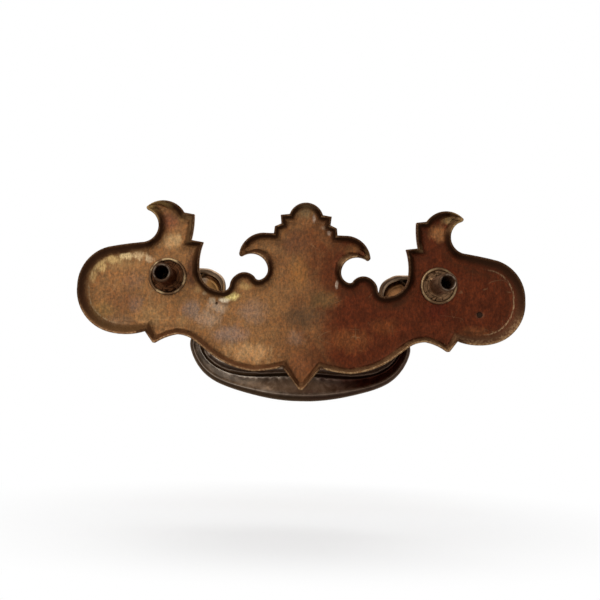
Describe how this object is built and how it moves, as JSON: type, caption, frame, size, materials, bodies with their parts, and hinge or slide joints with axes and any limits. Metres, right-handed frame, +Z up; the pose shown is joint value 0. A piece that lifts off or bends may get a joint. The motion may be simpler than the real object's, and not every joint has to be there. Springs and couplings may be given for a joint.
{
  "type": "bail pull",
  "caption": "Bat-wing drawer pull: hollow-backed brass backplate with tapped screw posts and a swan-neck bail that swings from their round heads.",
  "frame": {"origin": "midway between the two screw posts, on the plane of the backplate's rim, which bears on the drawer front", "axes": "+X along the plate from post to post, +Y back into the drawer front along the posts, +Z up"},
  "size_m": [0.125, 0.0252, 0.0563],
  "materials": {
    "plate_brass": "aged, brown patina",
    "post_brass": "turned, worn",
    "bail_brass": "cast, dark patina"
  },
  "bodies": {
    "plate": {"backplate": "plate_brass", "post_left": "post_brass", "post_right": "post_brass"},
    "bail": {"bail": "bail_brass"}
  },
  "joints": [
    {"name": "bail_swing", "type": "hinge", "parent": "plate", "child": "bail", "pos_m": [0, -0.011, 0], "axis": [-1, 0, 0], "range_deg": [-11, 200]}
  ]
}
